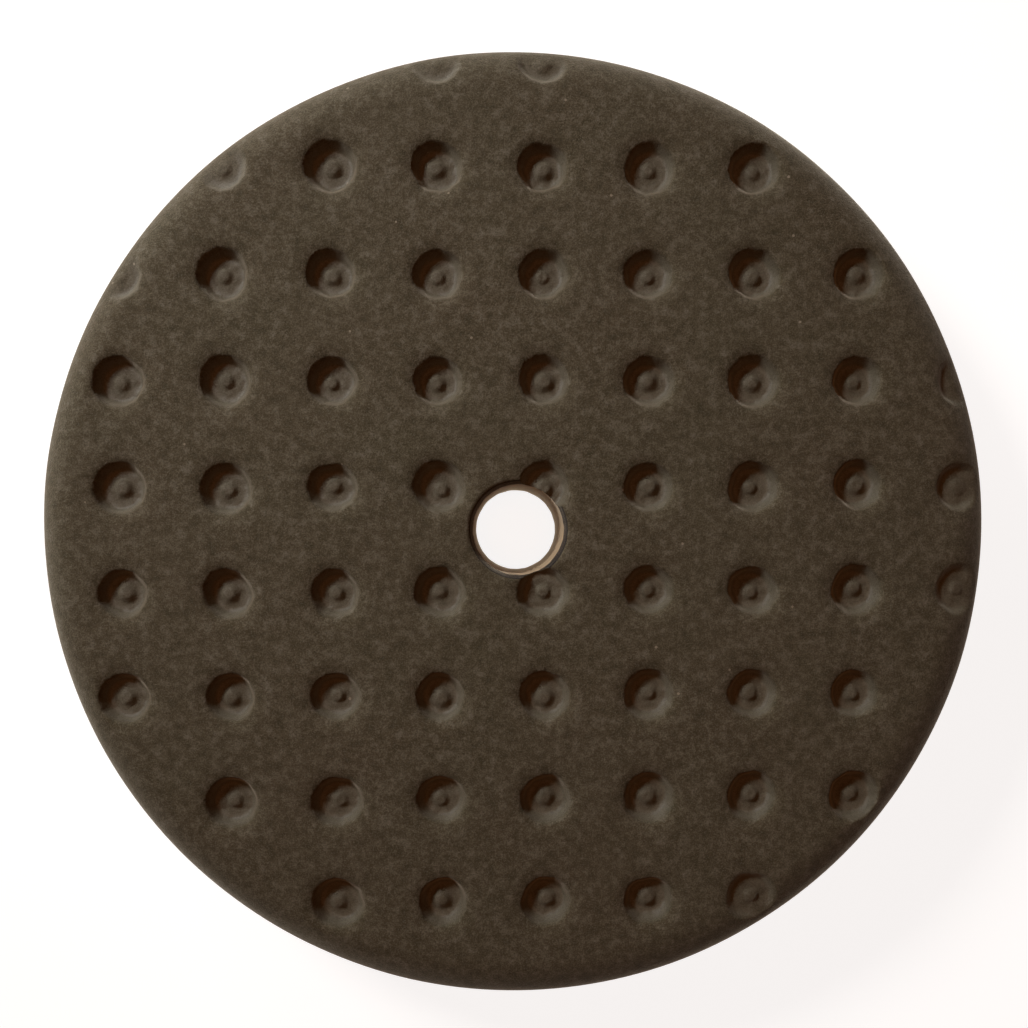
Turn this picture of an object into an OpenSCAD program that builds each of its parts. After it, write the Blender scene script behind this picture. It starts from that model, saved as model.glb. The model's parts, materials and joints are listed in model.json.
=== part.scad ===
// Dimpled foam finishing pad for a car polisher, with a hook-and-loop back.
// The pad lies on its loop side: Z = 0 is the tips of the loops, +Z points out of the working face,
// and the origin is on the axis of the centre hole. Sizes are in millimetres.

/* [Pad] */
// Diameter of the foam at its widest
pad_d = 165; // [120:1:220]
// Whole height, from the loop tips to the working face
pad_t = 25; // [18:0.5:40]
// Diameter of the hole that centres the pad
bore_d = 16.5; // [10:0.5:26]

/* [Rim] */
// Radius of the rounded corner between the working face and the side
rim_r = 7; // [3:0.5:10]
// How far the side tapers in, on the radius, from the widest line to the back
side_taper = 3.5; // [0:0.5:8]
// Size of the broken corner where the side meets the back
back_chamfer = 1.2; // [0.4:0.1:2]

/* [Dimples] */
// Spacing of the square grid of dimples
dimple_pitch = 18; // [14:0.5:30]
// Shift of the grid to the right of the hole's axis
grid_x = 4.5; // [-9:0.1:9]
// Shift of the grid above the hole's axis
grid_y = 7.3; // [-9:0.1:9]
// Turn of the grid about the hole's axis, in degrees
grid_turn = 0.25; // [-5:0.05:5]
// Diameter of the soft flare round a dimple, on the working face
flare_d = 12; // [10.5:0.5:13.5]
// Depth of the soft flare
flare_h = 0.45; // [0.2:0.05:0.8]
// Diameter of a dimple where its steep wall starts
mouth_d = 9; // [7.5:0.5:10]
// Diameter of a dimple's floor
floor_d = 5.6; // [4.5:0.1:7]
// Depth of a dimple's floor below the working face
dimple_h = 3; // [1.5:0.1:5]
// Diameter of the nub that stands on the floor, at its foot
nub_d = 2.6; // [1.6:0.1:4]
// Height of the nub
nub_h = 0.7; // [0.2:0.05:1.2]
// Least distance from the widest line in to the centre of a dimple that is pressed
dimple_land = 1.5; // [0:0.1:8]

/* [Loop back] */
// How far the edge of the loop cloth lies inside the edge of the foam's back
loop_inset = 4; // [2:0.5:20]
// Height of the raised loops
pile_h = 1.9; // [1:0.1:3]
// Thickness of the knitted cloth that the loops stand on
cloth_t = 0.7; // [0.4:0.1:1.5]
// Thickness of the bonding film between cloth and foam
film_t = 0.3; // [0.1:0.05:0.6]
// How far the film's edge lies inside the cloth's edge
film_inset = 0.4; // [0:0.1:2]

/* [Hidden] */
$fn = 96;

// How far a cutting shape runs past the surface that it opens
over = 1;
// The rim's arc stands this much above the face before the face cuts it, so the two meet at a slight angle
rim_crown = 0.08;
// The top of a nub is this share of its foot
nub_top_share = 0.5;

pad_r = pad_d / 2;
// Heights of the layers, each one resting on the one before it
cloth_z = pile_h;
film_z = cloth_z + cloth_t;
foam_z = film_z + film_t;
// Edge of the foam's back before its corner is broken, and the edge of the cloth inside it
back_r = pad_r - side_taper;
loop_r = back_r - loop_inset;
// The widest line of the foam, where the rim's arc starts
widest_z = pad_t - rim_r + rim_crown;

// A flat ring with the centre hole through it
module ring(radius, height) {
    difference() {
        cylinder(r = radius, h = height);
        translate([0, 0, -over]) cylinder(d = bore_d, h = height + 2 * over);
    }
}

// Half of the foam's outline, from its axis to its side
module foam_outline() {
    difference() {
        polygon([
            [0, foam_z],
            [back_r - back_chamfer, foam_z],
            [back_r, foam_z + back_chamfer],
            [pad_r, widest_z],
            [pad_r, pad_t],
            [0, pad_t]
        ]);
        translate([pad_r - rim_r, widest_z]) difference() {
            square(rim_r + over);
            circle(r = rim_r);
        }
    }
}

// What one dimple takes out of the foam: flare, steep wall, and a flat floor with a nub left standing.
// The flare's cone runs on as far above the face as below it, so it is flare_d wide where they cross.
module dimple_cut() {
    rotate_extrude() polygon([
        [0, flare_h],
        [flare_d - mouth_d / 2, flare_h],
        [mouth_d / 2, -flare_h],
        [floor_d / 2, -dimple_h],
        [nub_d / 2, -dimple_h],
        [nub_d / 2 * nub_top_share, nub_h - dimple_h],
        [0, nub_h - dimple_h]
    ]);
}

// Every dimple of the grid whose centre lies on the pad
module dimple_grid() {
    reach = ceil((pad_r + abs(grid_x) + abs(grid_y)) / dimple_pitch);
    rotate([0, 0, grid_turn])
        for (column = [-reach : reach], row = [-reach : reach]) {
            x = grid_x + column * dimple_pitch;
            y = grid_y + row * dimple_pitch;
            if (norm([x, y]) <= pad_r - dimple_land)
                translate([x, y, pad_t]) dimple_cut();
        }
}

// Open-cell polyurethane foam, pressed with dimples and cut to a disc
module foam_disc() {
    color([0.26, 0.23, 0.18]) difference() {
        rotate_extrude() foam_outline();
        cylinder(d = bore_d, h = pad_t + over);
        dimple_grid();
    }
}

// Hot-melt film that joins the cloth to the foam
module bond_film() {
    color([0.62, 0.6, 0.54]) translate([0, 0, film_z]) ring(loop_r - film_inset, film_t);
}

// Knitted ground of the loop fastener
module loop_base_cloth() {
    color([0.13, 0.13, 0.14]) translate([0, 0, cloth_z]) ring(loop_r, cloth_t);
}

// Space filled by the raised loops, which the machine's hook plate grips
module loop_pile() {
    color([0.19, 0.19, 0.2]) ring(loop_r, pile_h);
}

foam_disc();
bond_film();
loop_base_cloth();
loop_pile();
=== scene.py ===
import json
import math
import random

import bmesh
import bpy
from mathutils import Matrix, Vector, noise


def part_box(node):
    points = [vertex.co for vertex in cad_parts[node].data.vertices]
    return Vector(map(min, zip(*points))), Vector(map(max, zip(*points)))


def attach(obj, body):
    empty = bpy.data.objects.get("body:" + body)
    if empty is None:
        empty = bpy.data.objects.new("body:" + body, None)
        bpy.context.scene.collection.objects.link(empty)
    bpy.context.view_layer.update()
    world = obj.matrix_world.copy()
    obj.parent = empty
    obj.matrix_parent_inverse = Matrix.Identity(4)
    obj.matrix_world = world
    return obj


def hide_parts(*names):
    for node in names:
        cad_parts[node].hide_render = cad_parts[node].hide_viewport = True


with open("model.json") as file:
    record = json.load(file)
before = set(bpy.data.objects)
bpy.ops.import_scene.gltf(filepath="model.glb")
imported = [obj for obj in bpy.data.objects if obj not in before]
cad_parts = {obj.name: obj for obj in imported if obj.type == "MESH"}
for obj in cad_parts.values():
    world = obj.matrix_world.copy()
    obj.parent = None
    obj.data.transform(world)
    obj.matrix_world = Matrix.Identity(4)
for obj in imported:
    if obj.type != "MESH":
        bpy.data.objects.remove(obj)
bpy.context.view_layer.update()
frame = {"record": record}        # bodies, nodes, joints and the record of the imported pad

mm = 0.001
print("frame loaded")


# places that the frame gives

foamLow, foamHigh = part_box("foam_disc")
filmLow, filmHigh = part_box("bond_film")
clothLow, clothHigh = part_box("loop_base_cloth")
pileLow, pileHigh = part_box("loop_pile")
padRadius = (foamHigh[0] - foamLow[0]) / 2
clothRadius = (clothHigh[0] - clothLow[0]) / 2
hole = next(m for m in frame["record"]["mounts"] if m["name"] == "centre_hole")
holeRadius = hole["dims"]["r_mm"] * mm
faceZ = foamHigh[2]


# camera, light and floor

camera = {
    "place": (-1.38 * mm, -1.33 * mm, 221.1 * mm),   # almost straight above the hole
    "tilt": (-2.56, -1.64, 0),                        # degrees
    "lens": 40.05,
    "sensor": 36,
    "shift": (-0.0284, 0.0725),
}

studio = {
    "keyTurn": 139,           # degrees round from +X: one softbox stands at the upper left
    "keyHeight": 38,          # degrees above the floor
    "keyDistance": 0.55,
    "keySize": 0.155,
    "keyPower": 0.305,
    "keySpread": 60,          # degrees: a grid in front narrows the beam
    "keyAim": (0.005, 0.012, 0.0),
    "keyColour": "#fdfbff",
    "panelTurn": 122,         # a weaker, much lower one picks out the rim
    "panelHeight": 10,
    "panelDistance": 0.7,
    "panelSize": 0.3,
    "panelPower": 2.6,
    "fillHeight": 1.1,        # a dim warm lamp hangs straight above, high up
    "fillSize": 0.5,
    "fillPower": 1.75,
    "fillColour": "#ffa268",
    "roomColour": "#ffb98a",  # a warm room fills what is left of the shadows
    "roomStrength": 0.05,
    "backdropColour": "#f6f4f1",
    "floorSize": 6.0,
    "floorColour": "#98968f",
    "floorGlow": 0.86,        # lit from below as well, so that the floor stays pale in the shadows
}


def hexColour(text):
    # sRGB hex to the linear values that the shaders work in
    parts = [int(text[i:i + 2], 16) / 255 for i in (1, 3, 5)]
    linear = [c / 12.92 if c <= 0.04045 else ((c + 0.055) / 1.055) ** 2.4 for c in parts]
    return (*linear, 1.0)


def addNode(tree, kind, inputs=None, **settings):
    # inputs maps a socket's name or number to a value, or to the output that feeds it
    node = tree.nodes.new(kind)
    for name, value in settings.items():
        setattr(node, name, value)
    for name, value in (inputs or {}).items():
        if isinstance(value, bpy.types.NodeSocket):
            tree.links.new(value, node.inputs[name])
        else:
            node.inputs[name].default_value = value
    return node


def newMaterial(name):
    material = bpy.data.materials.new(name)
    material.use_nodes = True
    material.node_tree.nodes.clear()
    return material, material.node_tree


def makeCamera():
    data = bpy.data.cameras.new("camera")
    data.lens = camera["lens"]
    data.sensor_width = camera["sensor"]
    data.shift_x, data.shift_y = camera["shift"]
    data.clip_start = 0.01
    data.clip_end = 20
    holder = bpy.data.objects.new("camera", data)
    holder.location = camera["place"]
    holder.rotation_euler = [math.radians(a) for a in camera["tilt"]]
    bpy.context.collection.objects.link(holder)
    bpy.context.scene.camera = holder


def makeLamp(name, place, size, power, colour, aim=(0, 0, 0), spread=180):
    # a round area lamp that looks at its aim
    data = bpy.data.lights.new(name, "AREA")
    data.shape = "DISK"
    data.size = size
    data.energy = power
    data.color = hexColour(colour)[:3]
    data.spread = math.radians(spread)
    lamp = bpy.data.objects.new(name, data)
    lamp.location = place
    lamp.rotation_euler = (Vector(place) - Vector(aim)).to_track_quat("Z", "Y").to_euler()
    lamp.visible_camera = False
    bpy.context.collection.objects.link(lamp)


def lampPlace(turn, height, distance):
    turn, height = math.radians(turn), math.radians(height)
    level = math.cos(height)
    return Vector((math.cos(turn) * level, math.sin(turn) * level, math.sin(height))) * distance


def makeLamps():
    key = lampPlace(studio["keyTurn"], studio["keyHeight"], studio["keyDistance"])
    panel = lampPlace(studio["panelTurn"], studio["panelHeight"], studio["panelDistance"])
    makeLamp("softbox", key, studio["keySize"], studio["keyPower"], studio["keyColour"],
             studio["keyAim"], studio["keySpread"])
    makeLamp("topPanel", panel, studio["panelSize"], studio["panelPower"], studio["keyColour"])
    makeLamp("ceilingLamp", (0, 0, studio["fillHeight"]), studio["fillSize"], studio["fillPower"],
             studio["fillColour"])


def makeRoom():
    # the room lights the pad with a weak warm glow, and shows as a pale backdrop
    world = bpy.data.worlds.new("softRoom")
    world.use_nodes = True
    tree = world.node_tree
    tree.nodes.clear()
    glow = addNode(tree, "ShaderNodeBackground", {
        "Color": hexColour(studio["roomColour"]), "Strength": studio["roomStrength"]})
    backdrop = addNode(tree, "ShaderNodeBackground", {"Color": hexColour(studio["backdropColour"])})
    seen = addNode(tree, "ShaderNodeLightPath").outputs["Is Camera Ray"]
    room = addNode(tree, "ShaderNodeMixShader", {0: seen, 1: glow.outputs[0], 2: backdrop.outputs[0]})
    addNode(tree, "ShaderNodeOutputWorld", {"Surface": room.outputs[0]})
    bpy.context.scene.world = world


def makeFloor():
    # matt opal acrylic over lamps: no gloss, and a soft shadow only
    opal, tree = newMaterial("mattOpalAcrylic")
    shader = addNode(tree, "ShaderNodeBsdfPrincipled", {
        "Base Color": hexColour(studio["floorColour"]), "Roughness": 0.95, "Specular IOR Level": 0.1,
        "Emission Color": (1, 1, 1, 1), "Emission Strength": studio["floorGlow"]})
    addNode(tree, "ShaderNodeOutputMaterial", {"Surface": shader.outputs[0]})
    bm = bmesh.new()
    bmesh.ops.create_grid(bm, x_segments=1, y_segments=1, size=studio["floorSize"] / 2)
    meshObject("floor", bm, opal)


def meshObject(name, bm, material, smooth=False):
    # the finished bmesh as an object at the origin
    mesh = bpy.data.meshes.new(name)
    for face in bm.faces:
        face.smooth = smooth
    bm.to_mesh(mesh)
    bm.free()
    mesh.materials.append(material)
    piece = bpy.data.objects.new(name, mesh)
    bpy.context.collection.objects.link(piece)
    return piece


makeCamera()
makeLamps()
makeRoom()
makeFloor()
bpy.context.scene.view_settings.view_transform = "Standard"
print("camera, light and floor made")


# foam disc

foam = {
    "around": 240,            # steps of the spin
    "rimRadius": 7.0 * mm,
    "sideTaper": 3.5 * mm,
    "backRound": 1.2 * mm,
    "holeRound": 0.8 * mm,
    "holeNeck": 0.42 * mm,    # the punched wall springs in just below the lip
    "neckDepth": 1.9 * mm,
    "holeSpring": 0.78 * mm,  # and leans in further towards the back, as foam does once the punch is out
    "holeLean": (-0.40 * mm, 0.15 * mm),
    "holeRagged": 0.10 * mm,
    "raggedWidth": 1.5 * mm,
    "faceStep": 1.3 * mm,     # coarse spacing, before the dimples are refined
    "sideStep": 1.3 * mm,
    "holeStep": 1.6 * mm,
    "backStep": 6.0 * mm,
    "faceWave": 0.10 * mm,    # the face isn't dead flat
    "faceWaveWidth": 26 * mm,
    "rimWave": 0.12 * mm,     # nor the side dead round
    "rimWaveHeight": 40 * mm,
    "rimWaves": 4,
    "rimShare": 0.9,          # the side's waves start at this share of the radius
    "weld": 0.01 * mm,
    "seed": 7,
}

dimple = {
    "pitch": 18.0 * mm,
    "gridX": 4.5 * mm,
    "gridY": 7.3 * mm,
    "gridTurn": 0.25,         # degrees
    "land": 1.5 * mm,         # least distance of a centre from the pad's edge
    "flareRadius": 7.0 * mm,  # the face starts to sink here
    "mouthRadius": 4.55 * mm,  # and drops into the bowl here
    "floorRadius": 2.8 * mm,
    "flareDepth": 0.40 * mm,  # how far the flare has sunk at the mouth
    "flarePower": 2.3,
    "wallPower": 1.35,        # more than 1, so that the wall stands steepest near the mouth
    "mouthRound": 0.15 * mm,
    "depth": 2.75 * mm,
    "rimShare": 0.60,         # a dimple on the rounded rim sinks by this share, from the rim's own surface,
    "rimFade": 5.0 * mm,      # and dies out over this width towards the pad's edge
    "rimLand": 0.8 * mm,      # short of it by this much
    "rimSkin": 0.8,
    "skinRadius": 4.4 * mm,   # the melted skin starts here
    "skinFull": 3.5 * mm,     # is whole from here
    "skinInner": 2.8 * mm,    # to here
    "skinFade": 0.7 * mm,
    "floorSkin": 0.5,         # and is this much of itself on the floor
    "nubTop": 0.7 * mm,       # a low button stands in the middle of the floor
    "nubFoot": 1.75 * mm,
    "nubHeight": 0.75 * mm,
    "ragged": 0.24 * mm,      # how far a dimple's edge strays from round
    "raggedWidth": 3.4 * mm,
    "fineWidth": 1.5 * mm,    # with finer tears on top
    "fineShare": 0.6,
    "lumps": 0.16 * mm,       # and its floor from smooth
    "lumpWidth": 1.2 * mm,
    "uneven": 0.07,           # share by which depths differ from one dimple to the next
    "sizeUneven": 0.6,        # and how strongly sizes, buttons and ovals follow it
    "nubUneven": 3,
    "ovalUneven": 0.5,
    "stray": 0.10,            # how far the centres stray from the grid, in mm
    "nubStray": 0.16,         # and the buttons from the centres
    "wallEdge": 0.36 * mm,    # longest mesh edge in a dimple's wall
    "floorEdge": 0.50 * mm,   # in its floor
    "nearEdge": 0.80 * mm,    # and just round it
    "anyEdge": 1.0,           # elsewhere an edge may be as long as it is
}


def smoothStep(x):
    x = min(max(x, 0.0), 1.0)
    return x * x * (3 - 2 * x)


def arc(centreR, centreZ, radius, start, end, steps):
    # points of a round corner in the outline's plane, angles in degrees
    turns = [math.radians(start + (end - start) * i / steps) for i in range(steps + 1)]
    return [(centreR + radius * math.cos(t), centreZ + radius * math.sin(t)) for t in turns]


def line(start, end, step):
    # points from start to end, without either end
    count = max(1, round(math.dist(start, end) / step))
    return [tuple(a + (b - a) * i / count for a, b in zip(start, end)) for i in range(1, count)]


def foamOutline():
    low, top = foamLow[2], faceZ
    holeRound, rim, back = foam["holeRound"], foam["rimRadius"], foam["backRound"]
    backRadius = padRadius - foam["sideTaper"]
    holeCorner = arc(holeRadius + holeRound, top - holeRound, holeRound, 180, 90, 3)
    rimCorner = arc(padRadius - rim, top - rim, rim, 90, 0, 9)
    slope = math.degrees(math.atan2(foam["sideTaper"], top - rim - low))
    backCorner = arc(backRadius - back, low + back, back, -slope, -90, 4)
    holeFoot = (holeRadius - foam["holeSpring"], low)
    neck = (holeRadius - foam["holeNeck"], top - foam["neckDepth"])
    return (
        [holeFoot] + line(holeFoot, neck, foam["holeStep"]) + [neck]
        + holeCorner + line(holeCorner[-1], rimCorner[0], foam["faceStep"])
        + rimCorner + line(rimCorner[-1], backCorner[0], foam["sideStep"])
        + backCorner + line(backCorner[-1], holeFoot, foam["backStep"])
    )


def spinOutline(points, steps):
    # a closed outline in the XZ plane, spun once round Z
    bm = bmesh.new()
    verts = [bm.verts.new((r, 0, z)) for r, z in points]
    edges = [bm.edges.new((verts[i - 1], verts[i])) for i in range(len(verts))]
    bmesh.ops.spin(bm, geom=verts + edges, cent=(0, 0, 0), axis=(0, 0, 1), dvec=(0, 0, 0),
                   angle=math.tau, steps=steps, use_merge=True, use_duplicate=False)
    bmesh.ops.recalc_face_normals(bm, faces=bm.faces)
    return bm


def makeDimples():
    # every dimple of the grid whose centre lies on the pad, each a little different
    dice = random.Random(foam["seed"])
    reach = math.ceil((padRadius + abs(dimple["gridX"]) + abs(dimple["gridY"])) / dimple["pitch"])
    turn = Matrix.Rotation(math.radians(dimple["gridTurn"]), 2)
    uneven, stray, nubStray = dimple["uneven"], dimple["stray"], dimple["nubStray"]
    found = {}
    for column in range(-reach, reach + 1):
        for row in range(-reach, reach + 1):
            x = dimple["gridX"] + column * dimple["pitch"]
            y = dimple["gridY"] + row * dimple["pitch"]
            centre = Vector((x, y))
            if centre.length > padRadius - dimple["land"]:
                continue
            found[column, row] = {
                "centre": turn @ centre + Vector((dice.gauss(0, stray), dice.gauss(0, stray))) * mm,
                "size": 1 + dice.uniform(-uneven, uneven) * dimple["sizeUneven"],
                "onRim": centre.length > padRadius - foam["rimRadius"],
                "depth": 1 + dice.uniform(-uneven, uneven),
                "nub": 1 + dice.uniform(-uneven, uneven) * dimple["nubUneven"],
                "nubShift": Vector((dice.gauss(0, nubStray), dice.gauss(0, nubStray))) * mm,
                "oval": dice.uniform(-uneven, uneven) * dimple["ovalUneven"],
                "ovalTurn": dice.uniform(0, math.pi),
            }
    return found


dimples = makeDimples()


def nearestDimple(x, y):
    turn = Matrix.Rotation(-math.radians(dimple["gridTurn"]), 2)
    place = turn @ Vector((x, y))
    column = round((place.x - dimple["gridX"]) / dimple["pitch"])
    row = round((place.y - dimple["gridY"]) / dimple["pitch"])
    return dimples.get((column, row))


def wantedEdge(point):
    # longest edge that the foam may have at a point
    if point.z < faceZ - foam["rimRadius"]:
        return dimple["anyEdge"]
    here = nearestDimple(point.x, point.y)
    if here is None:
        return dimple["anyEdge"]
    gap = (point.xy - here["centre"]).length
    if gap > dimple["flareRadius"]:
        return dimple["anyEdge"]
    if gap > dimple["mouthRadius"] * 1.06:
        return dimple["nearEdge"]
    return dimple["wallEdge"] if gap > dimple["floorRadius"] * 0.9 else dimple["floorEdge"]


def refine(bm):
    # halve the long edges in and round the dimples until none is left
    for _ in range(6):
        longEdges = [e for e in bm.edges
                     if e.calc_length() > wantedEdge((e.verts[0].co + e.verts[1].co) / 2)]
        if not longEdges:
            break
        bmesh.ops.subdivide_edges(bm, edges=longEdges, cuts=1, use_grid_fill=True)


def dimpleShape(here, x, y):
    # how deep the dimple is pressed at a place, and how much melted skin it has there
    arm = Vector((x, y)) - here["centre"]
    gap = arm.length / here["size"]
    if gap > dimple["flareRadius"]:
        return 0.0, 0.0
    gap *= 1 + here["oval"] * math.cos(2 * (math.atan2(arm.y, arm.x) - here["ovalTurn"]))
    at = Vector((x, y, 0))
    tears = noise.noise(at / dimple["fineWidth"]) * dimple["fineShare"]
    gap += dimple["ragged"] * (tears + noise.noise(at / dimple["raggedWidth"]))
    # inside the mouth the flare goes no deeper, with a small round between the two
    past = gap - dimple["mouthRadius"]
    held = dimple["mouthRadius"] + (past + math.hypot(past, dimple["mouthRound"])) / 2
    sink = max(dimple["flareRadius"] - held, 0) / (dimple["flareRadius"] - dimple["mouthRadius"])
    flare = dimple["flareDepth"] * sink ** dimple["flarePower"]
    climb = (gap - dimple["floorRadius"]) / (dimple["mouthRadius"] - dimple["floorRadius"])
    bowl = 1 - smoothStep(min(max(climb, 0.0), 1.0) ** dimple["wallPower"])
    nubGap = (arm - here["nubShift"]).length
    nubFoot = dimple["nubFoot"] * here["nub"]
    nub = smoothStep((nubFoot - nubGap) / (nubFoot - dimple["nubTop"])) * dimple["nubHeight"] * here["nub"]
    lumps = dimple["lumps"] * noise.noise(at / dimple["lumpWidth"]) * bowl
    depth = flare + bowl * (dimple["depth"] * here["depth"] - dimple["flareDepth"]) - nub + lumps
    skin = smoothStep((dimple["skinRadius"] - gap) / (dimple["skinRadius"] - dimple["skinFull"]))
    skin *= 1 - (1 - dimple["floorSkin"]) * smoothStep((dimple["skinInner"] - gap) / dimple["skinFade"])
    return depth, skin


def pressDimples(bm):
    # the attribute "crushed" tells the material where the foam is melted shut
    crushed = bm.verts.layers.float.new("crushed")
    for vert in bm.verts:
        x, y, z = vert.co
        here = nearestDimple(x, y)
        if here is None or z < faceZ - foam["rimRadius"]:
            continue
        depth, skin = dimpleShape(here, x, y)
        pressed = faceZ - depth
        if here["onRim"]:
            share = smoothStep((padRadius - dimple["rimLand"] - math.hypot(x, y)) / dimple["rimFade"])
            pressed = z - depth * dimple["rimShare"] * share
            skin *= share * dimple["rimSkin"]
        if depth > 0 and pressed < z:
            vert.co.z = pressed
            vert[crushed] = skin


def roughenFoam(bm):
    # slow waves in the face and the side, as soft foam has after cutting
    leanX, leanY = foam["holeLean"]
    for vert in bm.verts:
        x, y, z = vert.co
        up = smoothStep((z - foamLow[2]) / (faceZ - foamLow[2]))
        if math.hypot(x, y) < holeRadius:
            ragged = foam["holeRagged"] * noise.noise(Vector((x, y, z)) / foam["raggedWidth"])
            vert.co += Vector((leanX, leanY, 0)) * (1 - up) + Vector((x, y, 0)).normalized() * ragged
        flat = Vector((x, y, 0))
        vert.co.z += up * foam["faceWave"] * noise.noise(flat / foam["faceWaveWidth"])
        if flat.length > padRadius * foam["rimShare"]:
            turn = math.atan2(y, x)
            ring = Vector((math.cos(turn), math.sin(turn), z / foam["rimWaveHeight"])) * foam["rimWaves"]
            vert.co += flat.normalized() * (foam["rimWave"] * noise.noise(ring))


def makeFoam(material):
    bm = spinOutline(foamOutline(), foam["around"])
    refine(bm)
    pressDimples(bm)
    bmesh.ops.remove_doubles(bm, verts=bm.verts, dist=foam["weld"])
    bmesh.ops.dissolve_degenerate(bm, edges=bm.edges, dist=foam["weld"])
    bmesh.ops.triangulate(bm, faces=bm.faces, quad_method="BEAUTY", ngon_method="BEAUTY")
    roughenFoam(bm)
    piece = meshObject("foam_pad", bm, material, smooth=True)
    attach(piece, "root")
    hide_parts("foam_disc")
    print("foam pressed:", len(dimples), "dimples,", len(piece.data.polygons), "triangles")
    return piece


# Open-cell polyurethane foam, slab cut: torn cell walls drink the light, so it is dull and deep,
# with a fine grain of dark pores between paler struts. In the dimples the cells are melted shut
# against a hot pin, which leaves a denser skin, a little paler and with a faint shine.
foamLook = {
    "colour": "#423d29",
    "warmColour": "#433825",
    "poreColour": "#29240d",
    "strutColour": "#625e50",
    "crushedColour": "#575344",
    "holeTornAndPaintedLightColour": "#a08b6c",    # the punched wall is torn open and paler, and partly painted light: lighter all the way down, as if lit
    "creaseShadeColour": "#0d0905",  # with a painted shade line just under the lip, standing for the shade of the crease there
    "fuzzColour": "#b5ad98",
    "speckColour": "#908774",
    "cell": 0.48 * mm,          # real cells are 0.3 mm; drawn coarser so that they show
    "mottle": 1.9 * mm,         # clumps of denser and looser cells
    "cloud": 24 * mm,
    "speckSpacing": 7 * mm,
    "speckSize": 0.035,         # share of their spacing
    "speckShare": 0.5,
    "grain": 0.26 * mm,
    "relief": 0.08 * mm,
    "wallPast": 0.22 * mm,      # the punched colour reaches this far past the hole's radius
    "tear": 1.3 * mm,           # width of the wobble in its painted shade line
    "tearHeight": 1.4 * mm,
    "creaseShadeLow": 1.6 * mm,      # below the face
    "creaseShadeHigh": 1.1 * mm,
}


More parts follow.
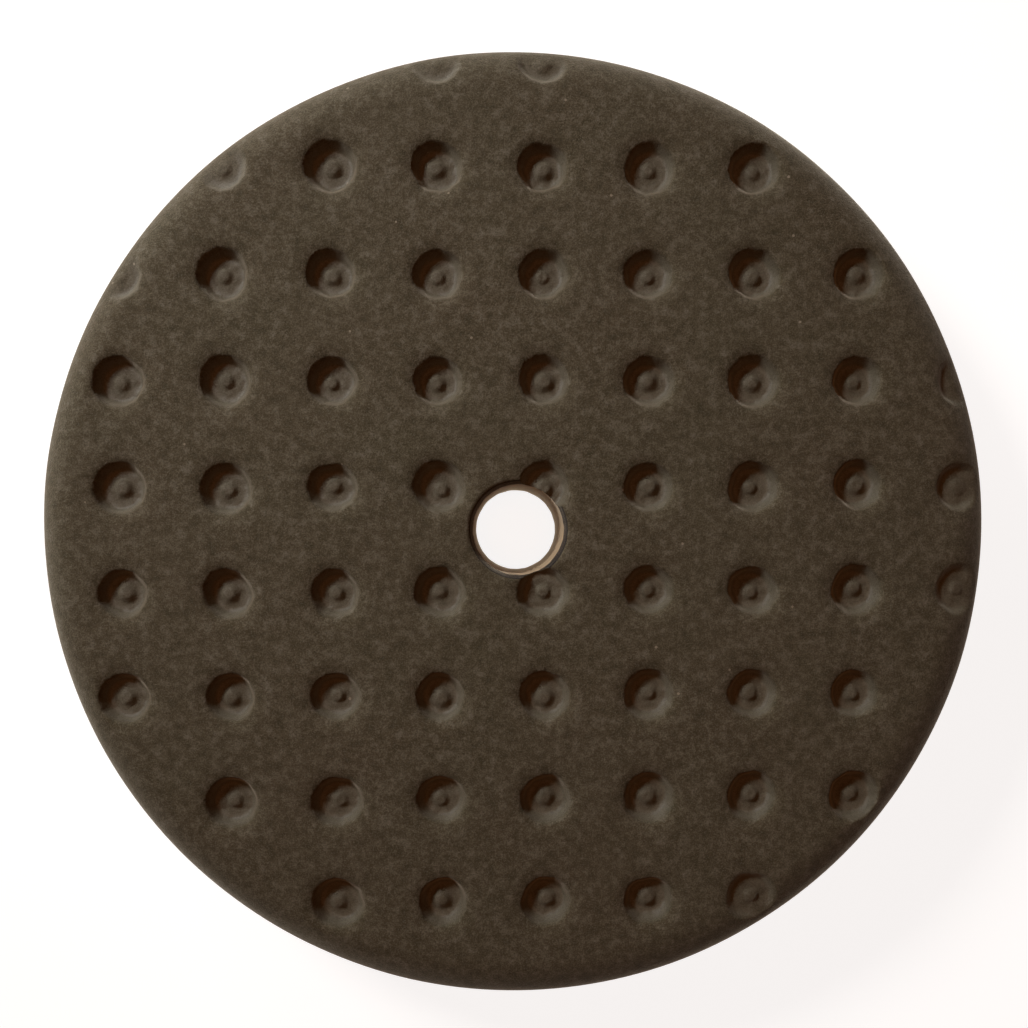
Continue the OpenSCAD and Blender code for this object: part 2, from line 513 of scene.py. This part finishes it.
def foamMaterial():
    look = foamLook
    material, tree = newMaterial("openCellPolyurethaneFoam")
    at = addNode(tree, "ShaderNodeTexCoord").outputs["Object"]
    crushed = addNode(tree, "ShaderNodeAttribute", attribute_name="crushed").outputs["Fac"]

    cells = addNode(tree, "ShaderNodeTexVoronoi", {"Vector": at, "Scale": 1 / look["cell"]},
                    feature="DISTANCE_TO_EDGE")
    pores = addNode(tree, "ShaderNodeMapRange", {
        "Value": cells.outputs["Distance"],
        "From Min": 0.05, "From Max": 0.40, "To Min": 0.0, "To Max": 0.45})
    mottle = addNode(tree, "ShaderNodeTexNoise", {
        "Vector": at, "Scale": 1 / look["mottle"], "Detail": 4.0, "Roughness": 0.85})
    cloud = addNode(tree, "ShaderNodeTexNoise", {
        "Vector": at, "Scale": 1 / look["cloud"], "Detail": 2.0, "Roughness": 0.5})
    hue = addNode(tree, "ShaderNodeMix", {
        0: cloud.outputs["Fac"], 6: hexColour(look["colour"]), 7: hexColour(look["warmColour"])},
        data_type="RGBA")

    # clumps of dense and loose cells, then the pores, then the melted skin over them
    pale = addNode(tree, "ShaderNodeMapRange", {
        "Value": mottle.outputs["Fac"], "From Min": 0.50, "From Max": 0.72, "To Min": 0.0, "To Max": 0.95})
    dark = addNode(tree, "ShaderNodeMapRange", {
        "Value": mottle.outputs["Fac"], "From Min": 0.50, "From Max": 0.30, "To Min": 0.0, "To Max": 0.95})
    struts = addNode(tree, "ShaderNodeMix", {
        0: pale.outputs[0], 6: hue.outputs[2], 7: hexColour(look["strutColour"])}, data_type="RGBA")
    hollows = addNode(tree, "ShaderNodeMix", {
        0: dark.outputs[0], 6: struts.outputs[2], 7: hexColour(look["poreColour"])}, data_type="RGBA")
    openFoam = addNode(tree, "ShaderNodeMix", {
        0: pores.outputs[0], 6: hollows.outputs[2], 7: hexColour(look["poreColour"])}, data_type="RGBA")
    pressed = addNode(tree, "ShaderNodeMath", {0: crushed, 1: 0.9}, operation="MULTIPLY")
    body = addNode(tree, "ShaderNodeMix", {
        0: pressed.outputs[0], 6: openFoam.outputs[2], 7: hexColour(look["crushedColour"])}, data_type="RGBA")

    grain = addNode(tree, "ShaderNodeTexNoise", {
        "Vector": at, "Scale": 1 / look["grain"], "Detail": 2.0, "Roughness": 0.8}).outputs["Fac"]
    grainDark = addNode(tree, "ShaderNodeMapRange", {
        "Value": grain, "From Min": 0.5, "From Max": 0.25, "To Min": 0.0, "To Max": 0.65})
    grainPale = addNode(tree, "ShaderNodeMapRange", {
        "Value": grain, "From Min": 0.5, "From Max": 0.75, "To Min": 0.0, "To Max": 0.65})
    darker = addNode(tree, "ShaderNodeMix", {
        0: grainDark.outputs[0], 6: body.outputs[2], 7: hexColour(look["poreColour"])}, data_type="RGBA")
    grained = addNode(tree, "ShaderNodeMix", {
        0: grainPale.outputs[0], 6: darker.outputs[2], 7: hexColour(look["strutColour"])}, data_type="RGBA")

    # the punched wall lies within the hole's radius, its pale colour partly painted light, and a painted
    # shade line under the lip follows a ragged height
    place = addNode(tree, "ShaderNodeSeparateXYZ", {0: at})
    level = addNode(tree, "ShaderNodeCombineXYZ", {0: place.outputs[0], 1: place.outputs[1]})
    radius = addNode(tree, "ShaderNodeVectorMath", {0: level.outputs[0]}, operation="LENGTH").outputs["Value"]
    inHole = addNode(tree, "ShaderNodeMath", {
        0: radius, 1: holeRadius + look["wallPast"]}, operation="LESS_THAN")
    tear = addNode(tree, "ShaderNodeTexNoise", {"Vector": at, "Scale": 1 / look["tear"], "Detail": 3.0})
    height = addNode(tree, "ShaderNodeMath", {
        0: tear.outputs["Fac"], 1: look["tearHeight"], 2: place.outputs[2]}, operation="MULTIPLY_ADD")
    # painted shade: dark a little under the lip, where the crease below it lies in shade
    below = addNode(tree, "ShaderNodeMapRange", {
        "Value": height.outputs[0], "From Min": faceZ - look["creaseShadeLow"],
        "From Max": faceZ - look["creaseShadeHigh"], "To Min": 1.0, "To Max": 0.0})
    wall = addNode(tree, "ShaderNodeMix", {
        0: below.outputs[0], 6: hexColour(look["creaseShadeColour"]), 7: hexColour(look["holeTornAndPaintedLightColour"])},
        data_type="RGBA")
    # a dimple that runs into the hole keeps its own colour
    unpressed = addNode(tree, "ShaderNodeMapRange", {
        "Value": crushed, "From Max": 0.1, "To Min": 1.0, "To Max": 0.0})
    wallShare = addNode(tree, "ShaderNodeMath", {
        0: inHole.outputs[0], 1: unpressed.outputs[0]}, operation="MULTIPLY")
    punched = addNode(tree, "ShaderNodeMix", {
        0: wallShare.outputs[0], 6: grained.outputs[2], 7: wall.outputs[2]}, data_type="RGBA")

    specks = addNode(tree, "ShaderNodeTexVoronoi", {
        "Vector": at, "Scale": 1 / look["speckSpacing"]}, feature="F1")
    speck = addNode(tree, "ShaderNodeMath", {
        0: specks.outputs["Distance"], 1: look["speckSize"]}, operation="LESS_THAN")
    speckShare = addNode(tree, "ShaderNodeMath", {
        0: speck.outputs[0], 1: look["speckShare"]}, operation="MULTIPLY")
    colour = addNode(tree, "ShaderNodeMix", {
        0: speckShare.outputs[0], 6: punched.outputs[2], 7: hexColour(look["speckColour"])}, data_type="RGBA")

    relief = addNode(tree, "ShaderNodeMath", {
        0: pores.outputs[0], 1: mottle.outputs["Fac"]}, operation="SUBTRACT")
    depth = addNode(tree, "ShaderNodeMapRange", {"Value": crushed, "To Min": 1.0, "To Max": 0.75})
    bump = addNode(tree, "ShaderNodeBump", {
        "Strength": depth.outputs[0], "Distance": look["relief"], "Height": relief.outputs[0]}, invert=True)
    rough = addNode(tree, "ShaderNodeMapRange", {"Value": crushed, "To Min": 0.95, "To Max": 0.62})
    shader = addNode(tree, "ShaderNodeBsdfPrincipled", {
        "Base Color": colour.outputs[2], "Roughness": rough.outputs[0], "Normal": bump.outputs[0],
        "IOR": 1.49, "Specular IOR Level": 0.4,
        "Sheen Weight": 0.5, "Sheen Roughness": 0.45, "Sheen Tint": hexColour(look["fuzzColour"])})
    addNode(tree, "ShaderNodeOutputMaterial", {"Surface": shader.outputs[0]})
    return material


makeFoam(foamMaterial())


# bond film

film = {
    "around": 180,
    "step": 6 * mm,
    "sink": 0.02 * mm,        # it is pressed a little into the foam and the cloth
    "beadRadius": 0.34 * mm,  # melt squeezed out past the cloth's edge
    "beadOut": 0.1 * mm,
    "beadWave": 0.22 * mm,
    "waveFrom": 0.5 * mm,     # the waves start this far inside the cloth's edge
    "slowWave": 5 * mm,
    "fastWave": 1.9 * mm,
    "fastShare": 0.6,
}


def filmOutline():
    low, high = filmLow[2] - film["sink"], filmHigh[2] + film["sink"]
    middle, beadRadius = (low + high) / 2, film["beadRadius"]
    edge = clothRadius + film["beadOut"]
    start = math.degrees(math.asin((high - low) / 2 / beadRadius))
    bead = arc(edge, middle, beadRadius, 180 - start, -180 + start, 8)
    inner = [(holeRadius, low), (holeRadius, high)]
    return inner + line(inner[1], bead[0], film["step"]) + bead + line(bead[-1], inner[0], film["step"])


def makeFilm(material):
    bm = spinOutline(filmOutline(), film["around"])
    for vert in bm.verts:
        flat = Vector((vert.co.x, vert.co.y, 0))
        if flat.length > clothRadius - film["waveFrom"]:
            swell = noise.noise(flat / film["slowWave"])
            swell += film["fastShare"] * noise.noise(flat / film["fastWave"])
            vert.co += flat.normalized() * (film["beadWave"] * swell)
    piece = meshObject("melt_film", bm, material, smooth=True)
    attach(piece, "root")
    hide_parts("bond_film")
    print("bond film made")


# Hot-melt polyurethane web, pressed while molten: milky, half clear and waxy, with small bubbles
# where air was caught.
filmLook = {
    "colour": "#9d988a",
    "thinColour": "#7f796a",
    "bubbleColour": "#bab6aa",
    "bubbleSpacing": 1.1 * mm,
    "cloud": 4.0 * mm,
    "relief": 0.05 * mm,
}


def filmMaterial():
    look = filmLook
    material, tree = newMaterial("hotMeltPolyurethaneFilm")
    at = addNode(tree, "ShaderNodeTexCoord").outputs["Object"]
    cloud = addNode(tree, "ShaderNodeTexNoise", {"Vector": at, "Scale": 1 / look["cloud"], "Detail": 4.0})
    bubbles = addNode(tree, "ShaderNodeTexVoronoi", {
        "Vector": at, "Scale": 1 / look["bubbleSpacing"]}, feature="F1")
    bubble = addNode(tree, "ShaderNodeMapRange", {
        "Value": bubbles.outputs["Distance"],
        "From Min": 0.12, "From Max": 0.22, "To Min": 0.7, "To Max": 0.0})
    thin = addNode(tree, "ShaderNodeMapRange", {
        "Value": cloud.outputs["Fac"], "From Min": 0.35, "From Max": 0.65})
    milky = addNode(tree, "ShaderNodeMix", {
        0: thin.outputs[0], 6: hexColour(look["colour"]), 7: hexColour(look["thinColour"])}, data_type="RGBA")
    colour = addNode(tree, "ShaderNodeMix", {
        0: bubble.outputs[0], 6: milky.outputs[2], 7: hexColour(look["bubbleColour"])}, data_type="RGBA")
    rough = addNode(tree, "ShaderNodeMapRange", {
        "Value": cloud.outputs["Fac"], "To Min": 0.35, "To Max": 0.6})
    bump = addNode(tree, "ShaderNodeBump", {"Distance": look["relief"], "Height": cloud.outputs["Fac"]})
    shader = addNode(tree, "ShaderNodeBsdfPrincipled", {
        "Base Color": colour.outputs[2], "Roughness": rough.outputs[0], "Normal": bump.outputs[0],
        "IOR": 1.5})
    addNode(tree, "ShaderNodeOutputMaterial", {"Surface": shader.outputs[0]})
    return material


makeFilm(filmMaterial())


# base cloth of the loop backing

cloth = {
    "around": 240,
    "step": 4 * mm,
    "edgeRound": 0.25 * mm,
    "edgeWave": 0.16 * mm,    # the die cut follows the stitches a little
    "edgeWaveWidth": 2.2 * mm,
    "edgeBand": 1.5 * mm,
    "wave": 0.05 * mm,        # the underside isn't quite flat
    "waveWidth": 9 * mm,
    "waveBand": 0.1 * mm,
}


def clothOutline():
    low, high, soft = clothLow[2], clothHigh[2], cloth["edgeRound"]
    out = clothRadius - cloth["edgeWave"]
    inner = arc(holeRadius + soft, low + soft, soft, 270, 180, 2)
    inner += arc(holeRadius + soft, high - soft, soft, 180, 90, 2)
    outer = arc(out - soft, high - soft, soft, 90, 0, 3)
    outer += arc(out - soft, low + soft, soft, 0, -90, 3)
    top = line(inner[-1], outer[0], cloth["step"])
    bottom = line(outer[-1], inner[0], cloth["step"])
    return inner + top + outer + bottom


def makeCloth(material):
    bm = spinOutline(clothOutline(), cloth["around"])
    for vert in bm.verts:
        flat = Vector((vert.co.x, vert.co.y, 0))
        if flat.length > clothRadius - cloth["edgeBand"]:
            vert.co += flat.normalized() * (cloth["edgeWave"] * noise.noise(flat / cloth["edgeWaveWidth"]))
        if vert.co.z < clothLow[2] + cloth["waveBand"]:
            vert.co.z += cloth["wave"] * noise.noise(flat / cloth["waveWidth"])
    piece = meshObject("backing_cloth", bm, material, smooth=True)
    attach(piece, "root")
    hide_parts("loop_base_cloth")
    print("backing cloth made")


# Black polyamide, warp knitted: small slanting stitches in rows, soft and half dull, with paler
# tops where the yarn turns over.
clothLook = {
    "colour": "#26262a",
    "topColour": "#3b3b40",
    "gapColour": "#121214",
    "wale": 0.9 * mm,         # real wales are 0.6 mm apart; drawn coarser so that they show
    "course": 0.9 * mm,
    "slant": 62,              # degrees between the two
    "patch": 12 * mm,
    "relief": 0.12 * mm,
}


def clothMaterial():
    look = clothLook
    material, tree = newMaterial("warpKnittedPolyamide")
    at = addNode(tree, "ShaderNodeTexCoord").outputs["Object"]
    slant = addNode(tree, "ShaderNodeMapping", {
        "Vector": at, "Rotation": (0, 0, math.radians(look["slant"]))}).outputs[0]
    # a wave's scale is pi / 10 for each period
    wales = addNode(tree, "ShaderNodeTexWave", {
        "Vector": at, "Scale": math.pi / 10 / look["wale"],
        "Distortion": 0.6, "Detail": 1.0, "Detail Scale": 1.5})
    courses = addNode(tree, "ShaderNodeTexWave", {
        "Vector": slant, "Scale": math.pi / 10 / look["course"],
        "Distortion": 0.8, "Detail": 1.0, "Detail Scale": 1.5})
    stitch = addNode(tree, "ShaderNodeMath", {
        0: wales.outputs["Fac"], 1: courses.outputs["Fac"]}, operation="MULTIPLY")
    patch = addNode(tree, "ShaderNodeTexNoise", {"Vector": at, "Scale": 1 / look["patch"], "Detail": 3.0})
    dark = addNode(tree, "ShaderNodeMapRange", {
        "Value": stitch.outputs[0], "From Min": 0.0, "From Max": 0.3, "To Min": 0.9, "To Max": 0.0})
    pale = addNode(tree, "ShaderNodeMapRange", {
        "Value": stitch.outputs[0], "From Min": 0.4, "From Max": 1.0, "To Min": 0.0, "To Max": 0.8})
    gaps = addNode(tree, "ShaderNodeMix", {
        0: dark.outputs[0], 6: hexColour(look["colour"]), 7: hexColour(look["gapColour"])}, data_type="RGBA")
    tops = addNode(tree, "ShaderNodeMix", {
        0: pale.outputs[0], 6: gaps.outputs[2], 7: hexColour(look["topColour"])}, data_type="RGBA")
    worn = addNode(tree, "ShaderNodeMapRange", {
        "Value": patch.outputs["Fac"], "From Min": 0.35, "From Max": 0.7, "To Min": 0.0, "To Max": 0.35})
    colour = addNode(tree, "ShaderNodeMix", {
        0: worn.outputs[0], 6: tops.outputs[2], 7: hexColour(look["topColour"])}, data_type="RGBA")
    bump = addNode(tree, "ShaderNodeBump", {
        "Strength": 0.8, "Distance": look["relief"], "Height": stitch.outputs[0]})
    shader = addNode(tree, "ShaderNodeBsdfPrincipled", {
        "Base Color": colour.outputs[2], "Roughness": 0.7, "Normal": bump.outputs[0],
        "IOR": 1.53, "Sheen Weight": 0.25, "Sheen Roughness": 0.45})
    addNode(tree, "ShaderNodeOutputMaterial", {"Surface": shader.outputs[0]})
    return material


makeCloth(clothMaterial())


# loop pile

pile = {
    "spacing": 1.2 * mm,      # real loops stand 0.5 mm apart; fewer and thicker ones stand for them
    "thread": 0.21 * mm,
    "halfWidth": (0.50 * mm, 0.90 * mm),
    "length": (1.35 * mm, 1.85 * mm),
    "root": 0.08 * mm,        # how deep a loop starts inside the cloth
    "straight": 0.12 * mm,    # a loop's round end hangs on straight legs that start this far down
    "nap": 24,                # degrees by which the loops lean, most of them one way
    "scatter": 14,
    "napTurn": 1.1,           # radians: that way, how far it wanders, over what width, and its scatter
    "napWander": 2.6,
    "napWidth": 40 * mm,
    "turnScatter": 0.7,
    "jitter": (0.1, 0.9),     # share of its own square that a loop may stand in
    "clearance": 0.01 * mm,
    "edgeGap": 0.8 * mm,
    "holeGap": 1.2 * mm,
    "steps": 7,
    "cell": 7.2 * mm,
    "seed": 11,
}


def makeLoop(bm, shade, dice, place):
    # a three-sided thread from root to root, hanging below z = 0 before it is put in its place
    first = len(bm.verts)
    half = dice.uniform(*pile["halfWidth"])
    bmesh.ops.create_circle(bm, segments=3, radius=pile["thread"] / 2,
                            matrix=Matrix.Translation((half, 0, 0)))
    bm.verts.ensure_lookup_table()
    ring = bm.verts[first:]
    edges = list({e for v in ring for e in v.link_edges})
    bmesh.ops.spin(bm, geom=ring + edges, cent=(0, 0, 0), axis=(0, 1, 0), dvec=(0, 0, 0),
                   angle=math.pi, steps=pile["steps"], use_duplicate=False)
    bm.verts.ensure_lookup_table()
    thread = bm.verts[first:]
    hanging = [v for v in thread if v.co.z < -pile["straight"]]
    bmesh.ops.translate(bm, verts=hanging, vec=(0, 0, half - dice.uniform(*pile["length"])))
    napTurn = pile["napWander"] * noise.noise(place / pile["napWidth"]) + pile["napTurn"]
    turn = Matrix.Rotation(napTurn + dice.gauss(0, pile["turnScatter"]), 4, "Z")
    lean = Matrix.Rotation(math.radians(dice.gauss(pile["nap"], pile["scatter"])), 4, "X")
    bmesh.ops.transform(bm, verts=thread, matrix=Matrix.Translation(place) @ turn @ lean)
    value = dice.random()
    for vert in thread:
        vert[shade] = value


def makePileCell(column, row, material):
    # one small square of loops, with its own draws; small meshes are much quicker to fill
    dice = random.Random(pile["seed"] * 10007 + column * 101 + row)
    bm = bmesh.new()
    shade = bm.verts.layers.float.new("shade")
    count = round(pile["cell"] / pile["spacing"])
    inside, outside = holeRadius + pile["holeGap"], clothRadius - pile["edgeGap"]
    for i in range(count * count):
        x = (column + (i % count + dice.uniform(*pile["jitter"])) / count) * pile["cell"]
        y = (row + (i // count + dice.uniform(*pile["jitter"])) / count) * pile["cell"]
        if inside < math.hypot(x, y) < outside:
            makeLoop(bm, shade, dice, Vector((x, y, clothLow[2] + pile["root"])))
    if not bm.verts:
        bm.free()
        return None
    bmesh.ops.holes_fill(bm, edges=bm.edges, sides=3)
    bmesh.ops.recalc_face_normals(bm, faces=bm.faces)
    # nothing hangs below the pile's own box
    if min(v.co.z for v in bm.verts) < pileLow[2]:
        for vert in bm.verts:
            vert.co.z = max(vert.co.z, pileLow[2] + pile["clearance"])
    return meshObject("loops", bm, material, smooth=True)


def joinPieces(pieces, name):
    with bpy.context.temp_override(active_object=pieces[0], selected_editable_objects=pieces):
        bpy.ops.object.join()
    pieces[0].name = name
    return pieces[0]


def makePile(material):
    reach = math.ceil(clothRadius / pile["cell"])
    steps = range(-reach, reach)
    quarters = [(True, True), (False, True), (True, False), (False, False)]
    for number, (left, near) in enumerate(quarters, start=1):
        squares = [(c, r) for c in steps for r in steps if (c < 0) == left and (r < 0) == near]
        cells = [makePileCell(column, row, material) for column, row in squares]
        quarter = joinPieces([cell for cell in cells if cell], f"loop_pile_{number}")
        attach(quarter, "root")
        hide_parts("loop_pile")
        print("loop pile, quarter", number, "made:", len(quarter.data.polygons), "faces")


# Black polyamide yarn, napped into loops: smooth round filaments, so each loop has a soft shine
# along it, and the fluffed mass has a dusty sheen.
pileLook = {
    "colour": "#232326",
    "paleColour": "#48484d",
    "darkColour": "#131315",
    "strand": 0.25 * mm,      # the yarn's filaments are 0.03 mm; drawn coarser so that they show
    "patch": 15 * mm,
}


def pileMaterial():
    look = pileLook
    material, tree = newMaterial("nappedPolyamideLoops")
    at = addNode(tree, "ShaderNodeTexCoord").outputs["Object"]
    shade = addNode(tree, "ShaderNodeAttribute", attribute_name="shade").outputs["Fac"]
    strands = addNode(tree, "ShaderNodeTexNoise", {"Vector": at, "Scale": 1 / look["strand"], "Detail": 2.0})
    patch = addNode(tree, "ShaderNodeTexNoise", {"Vector": at, "Scale": 1 / look["patch"], "Detail": 2.0})
    pale = addNode(tree, "ShaderNodeMapRange", {
        "Value": shade, "From Min": 0.4, "From Max": 1.0, "To Min": 0.0, "To Max": 0.8})
    loops = addNode(tree, "ShaderNodeMix", {
        0: pale.outputs[0], 6: hexColour(look["colour"]), 7: hexColour(look["paleColour"])}, data_type="RGBA")
    between = addNode(tree, "ShaderNodeMapRange", {
        "Value": strands.outputs["Fac"], "From Min": 0.6, "From Max": 0.35, "To Min": 0.0, "To Max": 0.7})
    grooved = addNode(tree, "ShaderNodeMix", {
        0: between.outputs[0], 6: loops.outputs[2], 7: hexColour(look["darkColour"])}, data_type="RGBA")
    worn = addNode(tree, "ShaderNodeMapRange", {
        "Value": patch.outputs["Fac"], "From Min": 0.4, "From Max": 0.7, "To Min": 0.0, "To Max": 0.4})
    colour = addNode(tree, "ShaderNodeMix", {
        0: worn.outputs[0], 6: grooved.outputs[2], 7: hexColour(look["paleColour"])}, data_type="RGBA")
    rough = addNode(tree, "ShaderNodeMapRange", {
        "Value": strands.outputs["Fac"], "To Min": 0.42, "To Max": 0.68})
    shader = addNode(tree, "ShaderNodeBsdfPrincipled", {
        "Base Color": colour.outputs[2], "Roughness": rough.outputs[0],
        "IOR": 1.53, "Sheen Weight": 0.3, "Sheen Roughness": 0.4})
    addNode(tree, "ShaderNodeOutputMaterial", {"Surface": shader.outputs[0]})
    return material


makePile(pileMaterial())
